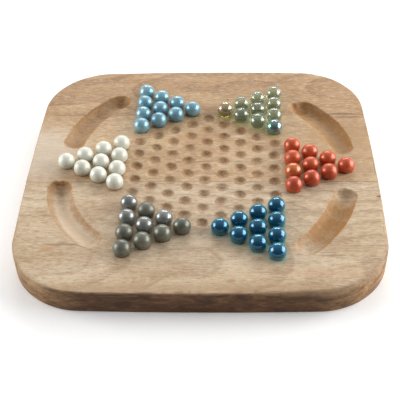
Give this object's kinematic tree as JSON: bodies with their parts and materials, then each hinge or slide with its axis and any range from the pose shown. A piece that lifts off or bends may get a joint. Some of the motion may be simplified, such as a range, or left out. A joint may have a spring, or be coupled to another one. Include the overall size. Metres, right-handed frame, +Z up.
{
  "type": "chinese checkers board",
  "caption": "Rounded square wooden Chinese checkers board with a star of marble seats, troughs for spare marbles and sets of glass marbles.",
  "frame": {"origin": "middle of the underside of the board, on the surface it rests on", "axes": "+X along the wood grain towards the red home, +Y towards the back edge with the sky blue and clear green homes, +Z up"},
  "size_m": [0.336, 0.328, 0.0372],
  "materials": {
    "front_wood": "pale mango wood, sanded, thin matte oil, soft dark streaks",
    "middle_wood": "light tan mango wood, sanded, thin matte oil",
    "back_wood": "pinkish tan mango wood with curly figure, thin matte oil",
    "white_glass": "opaque pearl glass with a lustre coat",
    "red_glass": "opaque brick red glass with a lustre coat",
    "sky_blue_glass": "opaque powder blue glass with a lustre coat",
    "teal_blue_glass": "deep blue transparent glass, glossy",
    "grey_glass": "opaque mid grey glass, glossy",
    "clear_green_glass": "clear green-tinted glass with a rainbow lustre"
  },
  "bodies": {
    "board": {"front_stave": "front_wood", "middle_stave": "middle_wood", "back_stave": "back_wood"},
    "white_marble_1": {"white_marble_1": "white_glass"},
    "white_marble_2": {"white_marble_2": "white_glass"},
    "white_marble_3": {"white_marble_3": "white_glass"},
    "white_marble_4": {"white_marble_4": "white_glass"},
    "white_marble_5": {"white_marble_5": "white_glass"},
    "white_marble_6": {"white_marble_6": "white_glass"},
    "white_marble_7": {"white_marble_7": "white_glass"},
    "white_marble_8": {"white_marble_8": "white_glass"},
    "white_marble_pair": {"white_marble_pair": "white_glass"},
    "red_marble_1": {"red_marble_1": "red_glass"},
    "red_marble_2": {"red_marble_2": "red_glass"},
    "red_marble_3": {"red_marble_3": "red_glass"},
    "red_marble_4": {"red_marble_4": "red_glass"},
    "red_marble_5": {"red_marble_5": "red_glass"},
    "red_marble_6": {"red_marble_6": "red_glass"},
    "red_marble_7": {"red_marble_7": "red_glass"},
    "red_marble_8": {"red_marble_8": "red_glass"},
    "red_marble_pair": {"red_marble_pair": "red_glass"},
    "sky_blue_marble_1": {"sky_blue_marble_1": "sky_blue_glass"},
    "sky_blue_marble_2": {"sky_blue_marble_2": "sky_blue_glass"},
    "sky_blue_marble_3": {"sky_blue_marble_3": "sky_blue_glass"},
    "sky_blue_marble_4": {"sky_blue_marble_4": "sky_blue_glass"},
    "sky_blue_marble_5": {"sky_blue_marble_5": "sky_blue_glass"},
    "sky_blue_marble_6": {"sky_blue_marble_6": "sky_blue_glass"},
    "sky_blue_marble_7": {"sky_blue_marble_7": "sky_blue_glass"},
    "sky_blue_marble_8": {"sky_blue_marble_8": "sky_blue_glass"},
    "sky_blue_marble_pair": {"sky_blue_marble_pair": "sky_blue_glass"},
    "teal_blue_marble_1": {"teal_blue_marble_1": "teal_blue_glass"},
    "teal_blue_marble_2": {"teal_blue_marble_2": "teal_blue_glass"},
    "teal_blue_marble_3": {"teal_blue_marble_3": "teal_blue_glass"},
    "teal_blue_marble_4": {"teal_blue_marble_4": "teal_blue_glass"},
    "teal_blue_marble_5": {"teal_blue_marble_5": "teal_blue_glass"},
    "teal_blue_marble_6": {"teal_blue_marble_6": "teal_blue_glass"},
    "teal_blue_marble_7": {"teal_blue_marble_7": "teal_blue_glass"},
    "teal_blue_marble_8": {"teal_blue_marble_8": "teal_blue_glass"},
    "teal_blue_marble_pair": {"teal_blue_marble_pair": "teal_blue_glass"},
    "grey_marble_1": {"grey_marble_1": "grey_glass"},
    "grey_marble_2": {"grey_marble_2": "grey_glass"},
    "grey_marble_3": {"grey_marble_3": "grey_glass"},
    "grey_marble_4": {"grey_marble_4": "grey_glass"},
    "grey_marble_5": {"grey_marble_5": "grey_glass"},
    "grey_marble_6": {"grey_marble_6": "grey_glass"},
    "grey_marble_7": {"grey_marble_7": "grey_glass"},
    "grey_marble_8": {"grey_marble_8": "grey_glass"},
    "grey_marble_pair": {"grey_marble_pair": "grey_glass"},
    "clear_green_marble_1": {"clear_green_marble_1": "clear_green_glass"},
    "clear_green_marble_2": {"clear_green_marble_2": "clear_green_glass"},
    "clear_green_marble_3": {"clear_green_marble_3": "clear_green_glass"},
    "clear_green_marble_4": {"clear_green_marble_4": "clear_green_glass"},
    "clear_green_marble_5": {"clear_green_marble_5": "clear_green_glass"},
    "clear_green_marble_6": {"clear_green_marble_6": "clear_green_glass"},
    "clear_green_marble_7": {"clear_green_marble_7": "clear_green_glass"},
    "clear_green_marble_8": {"clear_green_marble_8": "clear_green_glass"},
    "clear_green_marble_pair": {"clear_green_marble_pair": "clear_green_glass"}
  },
  "joints": [
    {"name": "white_marble_1_lift", "type": "slide", "parent": "board", "child": "white_marble_1", "axis": [0, 0, 1], "range_m": [0, 0.03]},
    {"name": "white_marble_2_lift", "type": "slide", "parent": "board", "child": "white_marble_2", "axis": [0, 0, 1], "range_m": [0, 0.03]},
    {"name": "white_marble_3_lift", "type": "slide", "parent": "board", "child": "white_marble_3", "axis": [0, 0, 1], "range_m": [0, 0.03]},
    {"name": "white_marble_4_lift", "type": "slide", "parent": "board", "child": "white_marble_4", "axis": [0, 0, 1], "range_m": [0, 0.03]},
    {"name": "white_marble_5_lift", "type": "slide", "parent": "board", "child": "white_marble_5", "axis": [0, 0, 1], "range_m": [0, 0.03]},
    {"name": "white_marble_6_lift", "type": "slide", "parent": "board", "child": "white_marble_6", "axis": [0, 0, 1], "range_m": [0, 0.03]},
    {"name": "white_marble_7_lift", "type": "slide", "parent": "board", "child": "white_marble_7", "axis": [0, 0, 1], "range_m": [0, 0.03]},
    {"name": "white_marble_8_lift", "type": "slide", "parent": "board", "child": "white_marble_8", "axis": [0, 0, 1], "range_m": [0, 0.03]},
    {"name": "white_marble_pair_lift", "type": "slide", "parent": "board", "child": "white_marble_pair", "axis": [0, 0, 1], "range_m": [0, 0.03]},
    {"name": "red_marble_1_lift", "type": "slide", "parent": "board", "child": "red_marble_1", "axis": [0, 0, 1], "range_m": [0, 0.03]},
    {"name": "red_marble_2_lift", "type": "slide", "parent": "board", "child": "red_marble_2", "axis": [0, 0, 1], "range_m": [0, 0.03]},
    {"name": "red_marble_3_lift", "type": "slide", "parent": "board", "child": "red_marble_3", "axis": [0, 0, 1], "range_m": [0, 0.03]},
    {"name": "red_marble_4_lift", "type": "slide", "parent": "board", "child": "red_marble_4", "axis": [0, 0, 1], "range_m": [0, 0.03]},
    {"name": "red_marble_5_lift", "type": "slide", "parent": "board", "child": "red_marble_5", "axis": [0, 0, 1], "range_m": [0, 0.03]},
    {"name": "red_marble_6_lift", "type": "slide", "parent": "board", "child": "red_marble_6", "axis": [0, 0, 1], "range_m": [0, 0.03]},
    {"name": "red_marble_7_lift", "type": "slide", "parent": "board", "child": "red_marble_7", "axis": [0, 0, 1], "range_m": [0, 0.03]},
    {"name": "red_marble_8_lift", "type": "slide", "parent": "board", "child": "red_marble_8", "axis": [0, 0, 1], "range_m": [0, 0.03]},
    {"name": "red_marble_pair_lift", "type": "slide", "parent": "board", "child": "red_marble_pair", "axis": [0, 0, 1], "range_m": [0, 0.03]},
    {"name": "sky_blue_marble_1_lift", "type": "slide", "parent": "board", "child": "sky_blue_marble_1", "axis": [0, 0, 1], "range_m": [0, 0.03]},
    {"name": "sky_blue_marble_2_lift", "type": "slide", "parent": "board", "child": "sky_blue_marble_2", "axis": [0, 0, 1], "range_m": [0, 0.03]},
    {"name": "sky_blue_marble_3_lift", "type": "slide", "parent": "board", "child": "sky_blue_marble_3", "axis": [0, 0, 1], "range_m": [0, 0.03]},
    {"name": "sky_blue_marble_4_lift", "type": "slide", "parent": "board", "child": "sky_blue_marble_4", "axis": [0, 0, 1], "range_m": [0, 0.03]},
    {"name": "sky_blue_marble_5_lift", "type": "slide", "parent": "board", "child": "sky_blue_marble_5", "axis": [0, 0, 1], "range_m": [0, 0.03]},
    {"name": "sky_blue_marble_6_lift", "type": "slide", "parent": "board", "child": "sky_blue_marble_6", "axis": [0, 0, 1], "range_m": [0, 0.03]},
    {"name": "sky_blue_marble_7_lift", "type": "slide", "parent": "board", "child": "sky_blue_marble_7", "axis": [0, 0, 1], "range_m": [0, 0.03]},
    {"name": "sky_blue_marble_8_lift", "type": "slide", "parent": "board", "child": "sky_blue_marble_8", "axis": [0, 0, 1], "range_m": [0, 0.03]},
    {"name": "sky_blue_marble_pair_lift", "type": "slide", "parent": "board", "child": "sky_blue_marble_pair", "axis": [0, 0, 1], "range_m": [0, 0.03]},
    {"name": "teal_blue_marble_1_lift", "type": "slide", "parent": "board", "child": "teal_blue_marble_1", "axis": [0, 0, 1], "range_m": [0, 0.03]},
    {"name": "teal_blue_marble_2_lift", "type": "slide", "parent": "board", "child": "teal_blue_marble_2", "axis": [0, 0, 1], "range_m": [0, 0.03]},
    {"name": "teal_blue_marble_3_lift", "type": "slide", "parent": "board", "child": "teal_blue_marble_3", "axis": [0, 0, 1], "range_m": [0, 0.03]},
    {"name": "teal_blue_marble_4_lift", "type": "slide", "parent": "board", "child": "teal_blue_marble_4", "axis": [0, 0, 1], "range_m": [0, 0.03]},
    {"name": "teal_blue_marble_5_lift", "type": "slide", "parent": "board", "child": "teal_blue_marble_5", "axis": [0, 0, 1], "range_m": [0, 0.03]},
    {"name": "teal_blue_marble_6_lift", "type": "slide", "parent": "board", "child": "teal_blue_marble_6", "axis": [0, 0, 1], "range_m": [0, 0.03]},
    {"name": "teal_blue_marble_7_lift", "type": "slide", "parent": "board", "child": "teal_blue_marble_7", "axis": [0, 0, 1], "range_m": [0, 0.03]},
    {"name": "teal_blue_marble_8_lift", "type": "slide", "parent": "board", "child": "teal_blue_marble_8", "axis": [0, 0, 1], "range_m": [0, 0.03]},
    {"name": "teal_blue_marble_pair_lift", "type": "slide", "parent": "board", "child": "teal_blue_marble_pair", "axis": [0, 0, 1], "range_m": [0, 0.03]},
    {"name": "grey_marble_1_lift", "type": "slide", "parent": "board", "child": "grey_marble_1", "axis": [0, 0, 1], "range_m": [0, 0.03]},
    {"name": "grey_marble_2_lift", "type": "slide", "parent": "board", "child": "grey_marble_2", "axis": [0, 0, 1], "range_m": [0, 0.03]},
    {"name": "grey_marble_3_lift", "type": "slide", "parent": "board", "child": "grey_marble_3", "axis": [0, 0, 1], "range_m": [0, 0.03]},
    {"name": "grey_marble_4_lift", "type": "slide", "parent": "board", "child": "grey_marble_4", "axis": [0, 0, 1], "range_m": [0, 0.03]},
    {"name": "grey_marble_5_lift", "type": "slide", "parent": "board", "child": "grey_marble_5", "axis": [0, 0, 1], "range_m": [0, 0.03]},
    {"name": "grey_marble_6_lift", "type": "slide", "parent": "board", "child": "grey_marble_6", "axis": [0, 0, 1], "range_m": [0, 0.03]},
    {"name": "grey_marble_7_lift", "type": "slide", "parent": "board", "child": "grey_marble_7", "axis": [0, 0, 1], "range_m": [0, 0.03]},
    {"name": "grey_marble_8_lift", "type": "slide", "parent": "board", "child": "grey_marble_8", "axis": [0, 0, 1], "range_m": [0, 0.03]},
    {"name": "grey_marble_pair_lift", "type": "slide", "parent": "board", "child": "grey_marble_pair", "axis": [0, 0, 1], "range_m": [0, 0.03]},
    {"name": "clear_green_marble_1_lift", "type": "slide", "parent": "board", "child": "clear_green_marble_1", "axis": [0, 0, 1], "range_m": [0, 0.03]},
    {"name": "clear_green_marble_2_lift", "type": "slide", "parent": "board", "child": "clear_green_marble_2", "axis": [0, 0, 1], "range_m": [0, 0.03]},
    {"name": "clear_green_marble_3_lift", "type": "slide", "parent": "board", "child": "clear_green_marble_3", "axis": [0, 0, 1], "range_m": [0, 0.03]},
    {"name": "clear_green_marble_4_lift", "type": "slide", "parent": "board", "child": "clear_green_marble_4", "axis": [0, 0, 1], "range_m": [0, 0.03]},
    {"name": "clear_green_marble_5_lift", "type": "slide", "parent": "board", "child": "clear_green_marble_5", "axis": [0, 0, 1], "range_m": [0, 0.03]},
    {"name": "clear_green_marble_6_lift", "type": "slide", "parent": "board", "child": "clear_green_marble_6", "axis": [0, 0, 1], "range_m": [0, 0.03]},
    {"name": "clear_green_marble_7_lift", "type": "slide", "parent": "board", "child": "clear_green_marble_7", "axis": [0, 0, 1], "range_m": [0, 0.03]},
    {"name": "clear_green_marble_8_lift", "type": "slide", "parent": "board", "child": "clear_green_marble_8", "axis": [0, 0, 1], "range_m": [0, 0.03]},
    {"name": "clear_green_marble_pair_lift", "type": "slide", "parent": "board", "child": "clear_green_marble_pair", "axis": [0, 0, 1], "range_m": [0, 0.03]}
  ]
}
